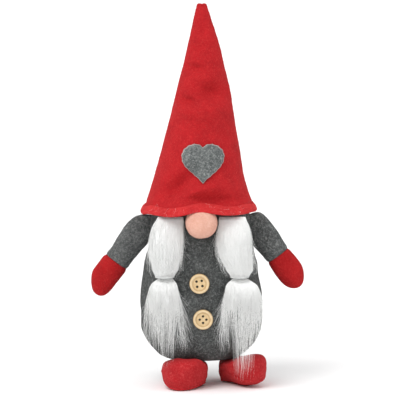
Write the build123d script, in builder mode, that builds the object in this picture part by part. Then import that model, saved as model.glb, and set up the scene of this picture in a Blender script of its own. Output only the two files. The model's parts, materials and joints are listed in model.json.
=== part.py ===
from build123d import *

import os
from math import cos, radians, sin

# A standing felt tomte gnome, sewn from felt panels and stuffed.
#
# The figure faces -Y, with +X on its own left and +Z up. The soles stand on z = 0, and the
# origin is the point of the floor under the middle of the body. Names that begin with left_
# or right_ mean the figure's own left and right.

# ---------------------------------------------------------------- driving dimensions, mm
felt = 1.5  # thickness of the body, hat and foot felt
thin_felt = 1.2  # thickness of the nose's cover
swing_gap = 0.5  # room between bodies that turn against each other

body_depth_share = 0.8  # depth of the body as a share of its width
body_ovals = [  # height, half width
    (19.7, 27.0),
    (25.0, 34.8),
    (31.0, 39.8),
    (41.0, 44.3),
    (55.0, 45.4),
    (72.0, 45.0),
    (90.0, 42.7),
    (108.0, 39.8),
    (130.0, 37.8),
    (145.0, 33.0),
    (156.0, 24.5),
    (161.0, 15.0),
]
base_z = body_ovals[0][0]
head_top_z = body_ovals[-1][0]

hat_depth_share = 0.93
hat_lean = 4.5  # how far the brim's middle lies in front of the tip
hat_ovals = [  # height, middle in x, half width
    (131.5, -1.9, 42.6),
    (141.0, -1.4, 39.6),
    (157.0, -1.4, 34.3),
    (174.0, -0.4, 30.6),
    (194.6, 0.6, 26.2),
    (215.0, 1.6, 22.0),
    (234.0, 2.1, 17.8),
    (257.0, 1.8, 12.2),
    (277.0, 1.0, 7.0),
    (289.0, 0.5, 3.7),
]
brim_z = hat_ovals[0][0]
tip_z = hat_ovals[-1][0]
hem_height = 6.2
hem_thickness = 1.8
hat_fill_z = brim_z + 1.0  # the filling packs the room between the hat and the head

heart_middle = (1.4, 171.8)  # x, z
heart_half_width = 16.0
heart_low = 15.6  # from its middle down to its point
heart_high = 14.8  # from its middle up to its lobes
heart_notch = 12.0  # from its middle up to the notch between its lobes
heart_thickness = 1.6

nose_middle = (0.3, -40.0, 127.7)
nose_radius = 12.0
nose_half_depth = 11.0

button_radius = 7.5
button_thickness = 2.9
dish_radius = 5.4
dish_depth = 0.8
thread_hole_radius = 0.95
buttons = {  # middle of the back face, tilt back with the belly, hole circle radius, first hole
    "button_upper": ((-1.2, -35.5, 81.0), 7.0, 2.8, 53.0),
    "button_lower": ((1.5, -36.4, 54.1), 0.0, 2.5, 0.0),
}

shoulder_x = 40.5  # the upright seam that each arm turns on
shoulder_wedge = 42.0  # half angle of the arm's pinched edge, which lets it swing
arm_top_z = brim_z - swing_gap
arms = {  # sign of x, height of the arm's middle at the seam, slope from upright, sleeve, mitten
    "left": (1, 121.5, 36.3, 30.0, 28.5),
    "right": (-1, 124.8, 36.5, 40.0, 27.0),
}
arm_half_width = 10.2
arm_half_thickness = 6.6

foot_height = base_z - swing_gap
sole_thickness = 2.0
ankle_to_middle = 12.0
feet = {  # ankle x, ankle y, turned out to +X by degrees
    "left": (25.6, 3.0, 25.0),
    "right": (-9.6, -4.0, -10.0),
}
foot_ovals = [  # height, half width, half length
    (sole_thickness, 15.4, 25.5),
    (7.0, 18.0, 28.5),
    (13.0, 17.4, 27.5),
    (foot_height, 11.5, 19.5),
]

neck_top_z = 84.8
neck_low_z = 82.9
tie_height = 1.6
tie_thickness = 1.0
locks = {  # height, inner x, outer x, middle in y, half depth, from the root to the tie
    "left": [
        (130.3, 13.2, 33.4, -34.0, 0.5),
        (126.0, 12.8, 35.8, -34.3, 2.4),
        (120.0, 12.2, 37.4, -35.6, 4.6),
        (114.0, 11.6, 37.9, -36.2, 7.4),
        (105.0, 13.0, 38.2, -36.6, 9.4),
        (96.0, 16.6, 38.8, -36.8, 8.8),
        (88.5, 20.4, 37.6, -36.8, 6.2),
        (neck_top_z, 22.6, 35.4, -36.8, 4.8),
    ],
    "right": [
        (130.3, 13.2, 32.4, -34.0, 0.5),
        (126.0, 12.8, 36.0, -34.3, 2.4),
        (120.0, 13.2, 38.0, -35.6, 4.6),
        (114.0, 13.6, 38.9, -36.2, 7.4),
        (105.0, 14.6, 39.2, -36.6, 9.4),
        (96.0, 16.2, 37.4, -36.8, 8.8),
        (88.5, 18.8, 35.2, -36.8, 6.2),
        (neck_top_z, 20.6, 33.8, -36.8, 4.8),
    ],
}
tufts = {  # the same, from the tie to where the hair thins out
    "left": [
        (81.7, 24.0, 34.6, -36.8, 0.7),
        (78.2, 20.4, 40.4, -37.2, 3.2),
        (73.0, 18.0, 44.4, -38.0, 6.0),
        (62.0, 15.8, 46.0, -38.8, 7.5),
        (50.0, 14.9, 45.6, -38.8, 7.8),
        (40.0, 15.9, 44.8, -38.4, 7.0),
        (30.0, 18.4, 43.4, -37.6, 5.2),
        (24.0, 21.0, 41.6, -37.4, 3.2),
    ],
    "right": [
        (81.7, 21.6, 32.2, -36.8, 0.7),
        (78.2, 19.2, 36.6, -37.4, 3.2),
        (73.0, 16.8, 39.6, -38.8, 6.0),
        (62.0, 14.3, 41.6, -39.8, 7.2),
        (50.0, 13.2, 42.2, -39.8, 7.4),
        (40.0, 13.0, 40.6, -39.2, 6.8),
        (33.0, 13.8, 37.6, -38.4, 5.2),
        (27.0, 16.4, 34.4, -37.8, 3.2),
    ],
}

pellet_ovals = [  # height, half width, of the bag of weighting pellets
    (22.5, 20.0),
    (27.0, 30.0),
    (35.0, 35.0),
    (43.0, 32.0),
    (48.0, 20.0),
]

os.makedirs("parts", exist_ok=True)


def save(builder, name):
    """Label a finished piece and write it as its own STEP file."""
    builder.part.label = name
    export_step(builder.part, f"parts/{name}.step")


def oval_stack(ovals, inset=0.0):
    """A smooth solid through level ovals: height, x, half width, y, half depth."""
    with BuildPart() as stack:
        for height, x, half_width, y, half_depth in ovals:
            with BuildSketch(Plane.XY.offset(height)):
                with Locations((x, y)):
                    Ellipse(half_width - inset, half_depth - inset)
        loft()
    return stack.part


def cut_below(solid, height):
    """The stretch of a solid below a height."""
    with BuildPart() as low:
        add(solid)
        split(bisect_by=Plane.XY.offset(height), keep=Keep.BOTTOM)
    return low.part


def cut_above(solid, height):
    """The stretch of a solid above a height."""
    with BuildPart() as high:
        add(solid)
        split(bisect_by=Plane.XY.offset(height), keep=Keep.TOP)
    return high.part


# ---------------------------------------------------------------- body and head
def body_stack(ovals, inset=0.0):
    return oval_stack([(z, 0.0, w, 0.0, w * body_depth_share) for z, w in ovals], inset)


body_outside = body_stack(body_ovals)
body_inside = cut_below(body_stack(body_ovals, felt), head_top_z - felt)

with BuildPart() as body_front_panel:
    add(body_outside)
    add(body_inside, mode=Mode.SUBTRACT)
    split(bisect_by=Plane.XZ, keep=Keep.TOP)
save(body_front_panel, "body_front_panel")

with BuildPart() as body_back_panel:
    add(body_outside)
    add(body_inside, mode=Mode.SUBTRACT)
    split(bisect_by=Plane.XZ, keep=Keep.BOTTOM)
save(body_back_panel, "body_back_panel")

with BuildPart() as body_base_panel:
    add(cut_below(body_inside, base_z + felt))
save(body_base_panel, "body_base_panel")

with BuildPart() as pellet_bag:
    add(body_stack(pellet_ovals))
save(pellet_bag, "pellet_bag")

with BuildPart() as body_stuffing:
    add(cut_above(body_inside, base_z + felt))
    add(pellet_bag.part, mode=Mode.SUBTRACT)
save(body_stuffing, "body_stuffing")


# ---------------------------------------------------------------- hat
def hat_stack(inset=0.0):
    ovals = []
    for z, x, half_width in hat_ovals:
        y = -hat_lean * (tip_z - z) / (tip_z - brim_z)
        ovals.append((z, x, half_width, y, half_width * hat_depth_share))
    return oval_stack(ovals, inset)


hat_outside = hat_stack()
hat_inside = cut_below(hat_stack(felt), tip_z - felt)
# the side seams lie in a plane through the hat's leaning middle line
hat_seam_plane = Plane(
    origin=(0, -hat_lean, brim_z), x_dir=(1, 0, 0), z_dir=(0, brim_z - tip_z, hat_lean)
)

with BuildPart() as hat_front_panel:
    add(hat_outside)
    add(hat_inside, mode=Mode.SUBTRACT)
    split(bisect_by=hat_seam_plane, keep=Keep.TOP)
save(hat_front_panel, "hat_front_panel")

with BuildPart() as hat_back_panel:
    add(hat_outside)
    add(hat_inside, mode=Mode.SUBTRACT)
    split(bisect_by=hat_seam_plane, keep=Keep.BOTTOM)
save(hat_back_panel, "hat_back_panel")

hem_outside = cut_below(hat_stack(-hem_thickness), brim_z + hem_height)
with BuildPart() as hat_hem:
    add(hem_outside)
    add(hat_outside, mode=Mode.SUBTRACT)
save(hat_hem, "hat_hem")

with BuildPart() as hat_stuffing:
    add(cut_above(hat_inside, hat_fill_z))
    add(body_outside, mode=Mode.SUBTRACT)
save(hat_stuffing, "hat_stuffing")

heart_plane = Plane(origin=(heart_middle[0], 0, heart_middle[1]), x_dir=(1, 0, 0), z_dir=(0, -1, 0))
with BuildPart() as hat_heart_patch:
    add(hat_stack(-heart_thickness))
    add(hat_outside, mode=Mode.SUBTRACT)
    with BuildSketch(heart_plane):
        with BuildLine():
            Bezier(
                (0, -heart_low),
                (0.45 * heart_half_width, -0.5 * heart_low),
                (heart_half_width, -0.25 * heart_low),
                (heart_half_width, 0.35 * heart_high),
            )
            Bezier(
                (heart_half_width, 0.35 * heart_high),
                (heart_half_width, heart_high),
                (0.2 * heart_half_width, 1.3 * heart_high),
                (0, heart_notch),
            )
            mirror(about=Plane.YZ)
        make_face()
    extrude(amount=2 * hat_ovals[0][2], mode=Mode.INTERSECT)
save(hat_heart_patch, "hat_heart_patch")


# ---------------------------------------------------------------- nose
def nose_egg(inset=0.0):
    """A ball pressed a little flat from front to back, around the origin."""
    with BuildPart() as egg:
        Sphere(nose_radius - inset)
        scale(by=(1, (nose_half_depth - inset) / (nose_radius - inset), 1))
    return egg.part


with BuildPart() as nose_cover:
    with Locations(nose_middle):
        add(nose_egg())
        add(nose_egg(thin_felt), mode=Mode.SUBTRACT)
    add(body_outside, mode=Mode.SUBTRACT)
    split(bisect_by=Plane.XY.offset(brim_z), keep=Keep.BOTTOM)
save(nose_cover, "nose_cover")

with BuildPart() as nose_stuffing:
    with Locations(nose_middle):
        add(nose_egg(thin_felt))
    add(body_outside, mode=Mode.SUBTRACT)
    split(bisect_by=Plane.XY.offset(brim_z), keep=Keep.BOTTOM)
save(nose_stuffing, "nose_stuffing")

# ---------------------------------------------------------------- buttons
for name, (back_middle, tilt, hole_circle, first_hole) in buttons.items():
    outward = (0, -cos(radians(tilt)), sin(radians(tilt)))
    seat = Plane(origin=back_middle, x_dir=(1, 0, 0), z_dir=outward)
    with BuildPart() as button:
        with BuildSketch(seat):
            Circle(button_radius)
        extrude(amount=button_thickness)
        fillet(button.edges().filter_by(GeomType.CIRCLE), 0.8)
        with BuildSketch(seat.offset(button_thickness)):
            Circle(dish_radius)
        extrude(amount=-dish_depth, mode=Mode.SUBTRACT)
        rim_edge = button.edges().filter_by(GeomType.CIRCLE).filter_by(
            lambda edge: abs(edge.radius - dish_radius) < 0.01
        )
        chamfer(rim_edge.sort_by(Axis(back_middle, outward))[-1], 0.7 * dish_depth)
        with BuildSketch(seat):
            with PolarLocations(hole_circle, 4, start_angle=first_hole):
                Circle(thread_hole_radius)
        extrude(amount=button_thickness, mode=Mode.SUBTRACT)
    save(button, name)


# ---------------------------------------------------------------- arms
def arm_stack(root, sleeve, mitten, inset=0.0):
    """The whole arm along its own axis, from inside the body to the mitten's end."""
    length = sleeve + mitten
    w = arm_half_width
    t = arm_half_thickness
    ovals = [  # distance along the arm, half width, half thickness
        (-30.0, w, t),
        (0.0, w, t),
        (0.5 * sleeve, w, t),
        (sleeve, 0.93 * w, 0.97 * t),
        (sleeve + 0.45 * mitten, 0.97 * w, 0.94 * t),
        (length - 0.2 * mitten, 0.76 * w, 0.72 * t),
        (length - inset, 0.34 * w, 0.36 * t),
    ]
    with BuildPart() as arm:
        for along, half_width, half_thickness in ovals:
            with BuildSketch(root.offset(along)):
                Ellipse(half_thickness - inset, half_width - inset)
        loft()
    return arm.part


def swing_wedge(sign, shift=0.0):
    """The space outside the shoulder seam that the arm may fill and still swing."""
    reach = 90.0
    apex = sign * (shoulder_x + shift)
    far = sign * (shoulder_x + shift + reach * cos(radians(shoulder_wedge)))
    side = reach * sin(radians(shoulder_wedge))
    with BuildPart() as wedge:
        with BuildSketch(Plane.XY):
            with BuildLine():
                Polyline((apex, 0), (far, side), (far, -side), close=True)
            make_face()
        extrude(amount=arm_top_z - shift)
    return wedge.part


for side, (sign, root_z, slope, sleeve_length, mitten_length) in arms.items():
    down_out = (sign * sin(radians(slope)), 0, -cos(radians(slope)))
    root = Plane(origin=(sign * shoulder_x, 0, root_z), x_dir=(0, 1, 0), z_dir=down_out)
    cuff_plane = root.offset(sleeve_length)
    inner_shift = felt / sin(radians(shoulder_wedge))

    with BuildPart() as arm_stuffing:
        add(arm_stack(root, sleeve_length, mitten_length, felt))
        add(swing_wedge(sign, inner_shift), mode=Mode.INTERSECT)
    save(arm_stuffing, f"{side}_arm_stuffing")

    for piece, part_kept in (("sleeve", Keep.BOTTOM), ("mitten", Keep.TOP)):
        with BuildPart() as cover:
            add(arm_stack(root, sleeve_length, mitten_length))
            add(swing_wedge(sign), mode=Mode.INTERSECT)
            add(arm_stuffing.part, mode=Mode.SUBTRACT)
            split(bisect_by=cuff_plane, keep=part_kept)
        save(cover, f"{side}_{piece}")

# ---------------------------------------------------------------- feet
for side, (ankle_x, ankle_y, turn) in feet.items():
    toe_x = sin(radians(turn))
    toe_y = -cos(radians(turn))
    middle = (ankle_x + ankle_to_middle * toe_x, ankle_y + ankle_to_middle * toe_y, 0)
    floor = Plane(origin=middle, x_dir=(-toe_y, toe_x, 0), z_dir=(0, 0, 1))

    with BuildPart() as foot_sole:
        with BuildSketch(floor):
            Ellipse(foot_ovals[0][1], foot_ovals[0][2])
        extrude(amount=sole_thickness)
    save(foot_sole, f"{side}_foot_sole")

    with BuildPart() as foot_stuffing:
        for height, half_width, half_length in foot_ovals:
            level = min(height, foot_height - felt)
            with BuildSketch(floor.offset(level)):
                Ellipse(half_width - felt, half_length - felt)
        loft()
    save(foot_stuffing, f"{side}_foot_stuffing")

    with BuildPart() as foot_upper:
        for height, half_width, half_length in foot_ovals:
            with BuildSketch(floor.offset(height)):
                Ellipse(half_width, half_length)
        loft()
        add(foot_stuffing.part, mode=Mode.SUBTRACT)
    save(foot_upper, f"{side}_foot_upper")


# ---------------------------------------------------------------- pigtails
def hair_stack(sign, ovals):
    stack = []
    for height, inner_x, outer_x, y, half_depth in ovals:
        stack.append((height, sign * (inner_x + outer_x) / 2, (outer_x - inner_x) / 2, y, half_depth))
    return oval_stack(stack)


for side, (sign, *_) in arms.items():
    _, neck_in, neck_out, neck_y, neck_half_depth = locks[side][-1]
    neck_x = sign * (neck_in + neck_out) / 2
    neck_half_width = (neck_out - neck_in) / 2

    with BuildPart() as pigtail_upper:
        add(hair_stack(sign, locks[side]))
        with BuildSketch(Plane.XY.offset(neck_low_z)):
            with Locations((neck_x, neck_y)):
                Ellipse(neck_half_width, neck_half_depth)
        extrude(amount=neck_top_z - neck_low_z)
    save(pigtail_upper, f"{side}_pigtail_upper")

    with BuildPart() as pigtail_tie:
        with BuildSketch(Plane.XY.offset(neck_top_z - tie_height)):
            with Locations((neck_x, neck_y)):
                Ellipse(neck_half_width + tie_thickness, neck_half_depth + tie_thickness)
                Ellipse(neck_half_width, neck_half_depth, mode=Mode.SUBTRACT)
        extrude(amount=tie_height)
        add(pigtail_upper.part, mode=Mode.SUBTRACT)
    save(pigtail_tie, f"{side}_pigtail_tie")

    with BuildPart() as pigtail_tuft:
        add(hair_stack(sign, tufts[side]))
    save(pigtail_tuft, f"{side}_pigtail_tuft")
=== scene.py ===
# Looks of a standing felt tomte gnome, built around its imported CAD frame. The figure faces -Y, and
# +X is its own left. Lengths in the tables below are in mm and become metres through MM. Every
# ring, lock and panel takes its place from the CAD nodes.

import json
import math

import bpy
import numpy as np
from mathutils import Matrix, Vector


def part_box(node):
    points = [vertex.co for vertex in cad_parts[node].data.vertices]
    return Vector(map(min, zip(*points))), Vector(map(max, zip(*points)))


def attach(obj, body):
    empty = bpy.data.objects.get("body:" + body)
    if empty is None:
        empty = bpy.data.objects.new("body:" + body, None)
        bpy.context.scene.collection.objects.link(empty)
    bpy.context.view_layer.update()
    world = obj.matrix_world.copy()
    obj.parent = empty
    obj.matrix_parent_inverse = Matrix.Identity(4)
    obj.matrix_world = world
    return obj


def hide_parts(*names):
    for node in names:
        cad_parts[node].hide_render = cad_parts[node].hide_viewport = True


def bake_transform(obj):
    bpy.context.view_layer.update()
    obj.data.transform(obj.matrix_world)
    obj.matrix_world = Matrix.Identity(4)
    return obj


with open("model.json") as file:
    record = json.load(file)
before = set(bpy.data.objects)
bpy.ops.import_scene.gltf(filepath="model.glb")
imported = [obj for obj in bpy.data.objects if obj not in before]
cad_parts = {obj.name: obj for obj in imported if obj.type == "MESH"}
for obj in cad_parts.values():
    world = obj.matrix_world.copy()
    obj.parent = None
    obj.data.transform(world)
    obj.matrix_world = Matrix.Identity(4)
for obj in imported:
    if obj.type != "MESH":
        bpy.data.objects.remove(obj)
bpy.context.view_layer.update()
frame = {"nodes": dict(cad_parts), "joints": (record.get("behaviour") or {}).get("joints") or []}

MM = 0.001
TURN = 2 * math.pi
SIDES = {"left": 1, "right": -1}
joints = {joint["name"]: joint for joint in frame["joints"]}
rng = np.random.default_rng(2024)


# ---------------------------------------------------------------- mesh helpers
def new_object(name, points, faces, smooth=True):
    """A mesh object from points in metres and faces as index lists."""
    mesh = bpy.data.meshes.new(name)
    if isinstance(faces, np.ndarray):
        corners = faces.shape[1]
        mesh.vertices.add(len(points))
        mesh.vertices.foreach_set("co", np.asarray(points, np.float32).ravel())
        mesh.loops.add(faces.size)
        mesh.loops.foreach_set("vertex_index", faces.astype(np.int32).ravel())
        mesh.polygons.add(len(faces))
        mesh.polygons.foreach_set("loop_start", np.arange(0, faces.size, corners, dtype=np.int32))
        mesh.update(calc_edges=True)
    else:
        mesh.from_pydata([tuple(p) for p in points], [], faces)
    mesh.validate()
    if smooth:
        mesh.polygons.foreach_set("use_smooth", [True] * len(mesh.polygons))
    piece = bpy.data.objects.new(name, mesh)
    bpy.context.scene.collection.objects.link(piece)
    return piece


def ring_faces(rows, columns, closed=True):
    """Quads between neighbouring rows of a grid, wrapped round when closed."""
    faces = []
    last = columns if closed else columns - 1
    for j in range(rows - 1):
        for i in range(last):
            k = (i + 1) % columns
            faces.append((j * columns + i, j * columns + k, (j + 1) * columns + k, (j + 1) * columns + i))
    return faces


def tube_mesh(name, grid):
    """A tube through rings of points, grid[row][column], with fan caps on its ends."""
    rows, columns, _ = grid.shape
    last = (rows - 1) * columns
    hub = rows * columns
    points = list(grid.reshape(-1, 3)) + [grid[0].mean(axis=0), grid[-1].mean(axis=0)]
    faces = ring_faces(rows, columns)
    faces += [(hub, (i + 1) % columns, i) for i in range(columns)]
    faces += [(hub + 1, last + i, last + (i + 1) % columns) for i in range(columns)]
    return new_object(name, points, faces)


def box_mm(node):
    """A CAD node's lowest and highest corners, in mm."""
    return (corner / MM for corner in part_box(node))


def around(columns):
    """Angles round a ring, without its last."""
    return np.linspace(0, TURN, columns, endpoint=False)


def oval(x, half_x, y, half_y, angle, z):
    """Points of an oval in mm at angles round it, 0 at +X and 90 degrees at +Y."""
    return np.stack([x + half_x * np.cos(angle), y + half_y * np.sin(angle), z + 0 * angle], axis=-1)


def push_out(points, out, angle):
    """Moves the points of a ring outward by out mm."""
    points[..., 0] += out * np.cos(angle)
    points[..., 1] += out * np.sin(angle)


def smoothstep(low, high, x):
    """0 at low and 1 at high, with a smooth rise between them."""
    t = np.clip((x - low) / (high - low), 0, 1)
    return t * t * (3 - 2 * t)


def bell(x, z, x0, z0, wide, tall, tilt=0.0):
    """A smooth bump of height 1 at (x0, z0), turned by tilt degrees."""
    c, s = math.cos(math.radians(tilt)), math.sin(math.radians(tilt))
    a = (x - x0) * c + (z - z0) * s
    b = -(x - x0) * s + (z - z0) * c
    return np.exp(-0.5 * ((a / wide) ** 2 + (b / tall) ** 2))


class Waves:
    """Smooth seeded noise: a few crossing waves, about -1 to 1, for points in mm."""

    COUNT = 9

    def __init__(self, size):
        directions = rng.normal(size=(self.COUNT, 3))
        directions /= np.linalg.norm(directions, axis=1)[:, None]
        self.k = directions * (TURN / size) * rng.uniform(0.6, 1.5, (self.COUNT, 1))
        self.phase = rng.uniform(0, TURN, self.COUNT)

    def __call__(self, points):
        return np.sin(points @ self.k.T + self.phase).sum(axis=-1) / math.sqrt(self.COUNT) * 0.8


class Sections:
    """Ovals across CAD nodes, as middle and half size on two axes at any distance along a third.

    Lengths are in mm from the origin along axes, the rows of which are x, y and z unless given.
    """

    def __init__(self, nodes, origin=(0, 0, 0), axes=None, count=72):
        self.origin = np.array(origin, float)
        self.axes = np.eye(3) if axes is None else np.array(axes, float)
        edges = []
        for node in nodes:
            mesh = frame["nodes"][node].data
            corners = np.array([v.co for v in mesh.vertices]) / MM
            corners = (corners - self.origin) @ self.axes.T
            edges.append(corners[np.array([e.vertices for e in mesh.edges])])
        edges = np.concatenate(edges)
        self.low = edges[:, :, 2].min()
        self.high = edges[:, :, 2].max()
        self.along = np.linspace(self.low + 0.05, self.high - 0.05, count)
        found = []
        for level in self.along:
            start, end = edges[:, 0], edges[:, 1]
            crossing = (start[:, 2] - level) * (end[:, 2] - level) <= 0
            start, end = start[crossing], end[crossing]
            rise = np.where(np.abs(end[:, 2] - start[:, 2]) < 1e-9, 1.0, end[:, 2] - start[:, 2])
            hit = start + (end - start) * np.clip((level - start[:, 2]) / rise, 0, 1)[:, None]
            low, high = hit.min(axis=0), hit.max(axis=0)
            found.append(np.concatenate([(low + high)[:2] / 2, (high - low)[:2] / 2]))
        self.rows = np.array(found)

    def at(self, along):
        """The first axis's middle and half size, then the second's, at each distance."""
        mid_a, mid_b, half_a, half_b = (np.interp(along, self.along, self.rows[:, i]) for i in range(4))
        return mid_a, half_a, mid_b, half_b

    def place(self, local):
        """Points in the frame's mm from points along the axes."""
        return local @ self.axes + self.origin


# ---------------------------------------------------------------- material helpers
def node_material(name):
    """A new material with its node tree and its shader."""
    material = bpy.data.materials.new(name)
    material.use_nodes = True
    tree = material.node_tree
    return material, tree, tree.nodes["Principled BSDF"]


def set_inputs(node, **values):
    """Sets a node's inputs by name, with _ for each space."""
    for key, value in values.items():
        node.inputs[key.replace("_", " ")].default_value = value


def add_node(tree, kind, **values):
    """A new node with its inputs set."""
    node = tree.nodes.new(kind)
    set_inputs(node, **values)
    return node


def scaled_coordinates(tree, stretch=(1, 1, 1)):
    """Object coordinates, stretched, so that a pattern needs no UVs."""
    source = tree.nodes.new("ShaderNodeTexCoord")
    mapping = add_node(tree, "ShaderNodeMapping", Scale=stretch)
    tree.links.new(source.outputs["Object"], mapping.inputs["Vector"])
    return mapping.outputs["Vector"]


def noise(tree, vector, scale, detail, roughness, distortion=0.0):
    """A noise pattern, 0 to 1."""
    node = add_node(tree, "ShaderNodeTexNoise", Scale=scale, Detail=detail, Roughness=roughness,
                    Distortion=distortion)
    tree.links.new(vector, node.inputs["Vector"])
    return node.outputs["Fac"]


def ramp(tree, factor, stops):
    """A colour from a factor, by stops of position and colour."""
    node = tree.nodes.new("ShaderNodeValToRGB")
    elements = node.color_ramp.elements
    while len(elements) < len(stops):
        elements.new(0.5)
    for element, (position, colour) in zip(elements, stops):
        element.position = position
        element.color = (*colour, 1)
    tree.links.new(factor, node.inputs["Fac"])
    return node.outputs["Color"]


def mix(tree, factor, a, b, blend="MIX"):
    """Mixes two colours; factor, a and b are sockets or values."""
    node = tree.nodes.new("ShaderNodeMix")
    node.data_type = "RGBA"
    node.blend_type = blend
    for socket, value in ((node.inputs[0], factor), (node.inputs[6], a), (node.inputs[7], b)):
        if isinstance(value, bpy.types.NodeSocket):
            tree.links.new(value, socket)
        elif isinstance(value, (int, float)):
            socket.default_value = value
        else:
            socket.default_value = (*value, 1)
    return node.outputs[2]


def bump(tree, shader, height, strength, distance):
    """Gives the shader a bump from a height pattern; distance is in metres."""
    node = add_node(tree, "ShaderNodeBump", Strength=strength, Distance=distance)
    tree.links.new(height, node.inputs["Height"])
    tree.links.new(node.outputs["Normal"], shader.inputs["Normal"])


def felt_material(name, dark, middle, light, fibre, fibre_share, melange):
    """Needled felt: blotches, fine matted fibres of a lighter colour, and a soft sheen."""
    material, tree, shader = node_material(name)
    vector = scaled_coordinates(tree)
    blotch = noise(tree, vector, 95.0, 3.0, 0.55)
    fine = noise(tree, vector, 620.0, 5.0, 0.7, 0.6)
    base = ramp(tree, blotch, [(0.32, dark), (0.5, middle), (0.7, light)])
    fleck = ramp(tree, fine, [(0.40, dark), (0.52, middle), (0.64, fibre)])
    colour = mix(tree, 0.35 + 0.5 * melange, base, fleck)
    strand_a = noise(tree, scaled_coordinates(tree, (260, 2200, 900)), 1.0, 3.0, 0.6, 1.6)
    strand_b = noise(tree, scaled_coordinates(tree, (2000, 900, 240)), 1.0, 3.0, 0.6, 1.6)
    thin = [(0.56, (0, 0, 0)), (0.68, (1, 1, 1))]
    strands = mix(tree, 1.0, ramp(tree, strand_a, thin), ramp(tree, strand_b, thin), "LIGHTEN")
    faded = mix(tree, fibre_share, (0, 0, 0), strands)
    colour = mix(tree, faded, colour, fibre)
    tree.links.new(colour, shader.inputs["Base Color"])
    set_inputs(shader, Roughness=0.92, Specular_IOR_Level=0.2, Sheen_Weight=0.12, Sheen_Roughness=0.6,
               Sheen_Tint=(*fibre, 1))
    height = mix(tree, 0.5, fine, strands)
    bump(tree, shader, height, 0.55, 0.0006)
    return material


def hair_material(name, root, tip):
    """Combed faux fur: streaks along the fibre and a soft gloss."""
    material, tree, shader = node_material(name)
    streak = noise(tree, scaled_coordinates(tree, (900, 900, 26)), 1.0, 4.0, 0.65, 0.3)
    broad = noise(tree, scaled_coordinates(tree, (210, 210, 12)), 1.0, 2.0, 0.5)
    colour = ramp(tree, streak, [(0.30, tip), (0.55, root)])
    shade = ramp(tree, broad, [(0.3, tip), (0.6, root)])
    tree.links.new(mix(tree, 0.4, colour, shade), shader.inputs["Base Color"])
    set_inputs(shader, Roughness=0.55, Specular_IOR_Level=0.35, Sheen_Weight=0.3)
    bump(tree, shader, streak, 0.5, 0.0005)
    return material


def wood_material(name, middle):
    """Pale turned wood: faint growth rings, fine pores, and painted shade that leaves the rim paler than
    the dish and darkens the dish's edge and the button's outer edge.
    """
    material, tree, shader = node_material(name)
    vector = scaled_coordinates(tree, (1, 0.35, 1))
    wave = add_node(tree, "ShaderNodeTexWave", Scale=120.0, Distortion=5.0, Detail=3.0, Detail_Scale=1.2)
    wave.wave_type = "BANDS"
    wave.bands_direction = "DIAGONAL"
    tree.links.new(vector, wave.inputs["Vector"])
    pores = noise(tree, scaled_coordinates(tree, (3000, 1500, 420)), 1.0, 3.0, 0.6)
    cloud = noise(tree, vector, 160.0, 3.0, 0.5)
    rings = ramp(tree, wave.outputs["Fac"], [(0.1, (0.60, 0.43, 0.235)), (0.8, (0.70, 0.54, 0.32))])
    clouds = ramp(tree, cloud, [(0.35, (0.64, 0.475, 0.265)), (0.65, (0.72, 0.565, 0.35))])
    colour = mix(tree, 0.6, rings, clouds)
    specks = ramp(tree, pores, [(0.60, (1, 1, 1)), (0.72, (0.62, 0.45, 0.26))])
    colour = mix(tree, 0.35, colour, specks, "MULTIPLY")
    source = tree.nodes.new("ShaderNodeTexCoord")
    radius = tree.nodes.new("ShaderNodeVectorMath")
    radius.operation = "DISTANCE"
    radius.inputs[1].default_value = middle
    tree.links.new(source.outputs["Object"], radius.inputs[0])
    widened = tree.nodes.new("ShaderNodeMath")
    widened.operation = "MULTIPLY"
    widened.inputs[1].default_value = 100.0
    tree.links.new(radius.outputs["Value"], widened.inputs[0])
    # painted shade: the dish a little darker, a dark ring where it meets the rim, and a darker outer edge
    painted_dish_shade = ramp(tree, widened.outputs["Value"], [(0.0, (0.93, 0.90, 0.84)), (0.44, (0.90, 0.86, 0.78)),
                                                 (0.525, (0.70, 0.60, 0.46)), (0.575, (1.0, 1.0, 1.0)),
                                                 (0.69, (1.0, 1.0, 1.0)), (0.76, (0.74, 0.62, 0.45))])
    tree.links.new(mix(tree, 1.0, colour, painted_dish_shade, "MULTIPLY"), shader.inputs["Base Color"])
    set_inputs(shader, Roughness=0.45, Coat_Weight=0.2, Coat_Roughness=0.35)
    bump(tree, shader, pores, 0.2, 0.0003)
    return material


def strand_material(name, light, dark):
    """Stray fibres of felt, and the thread of the ties."""
    material, tree, shader = node_material(name)
    tangle = noise(tree, scaled_coordinates(tree), 420.0, 6.0, 0.75, 1.2)
    tree.links.new(ramp(tree, tangle, [(0.3, dark), (0.7, light)]), shader.inputs["Base Color"])
    set_inputs(shader, Roughness=0.95)
    bump(tree, shader, tangle, 0.6, 0.001)
    return material


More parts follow.
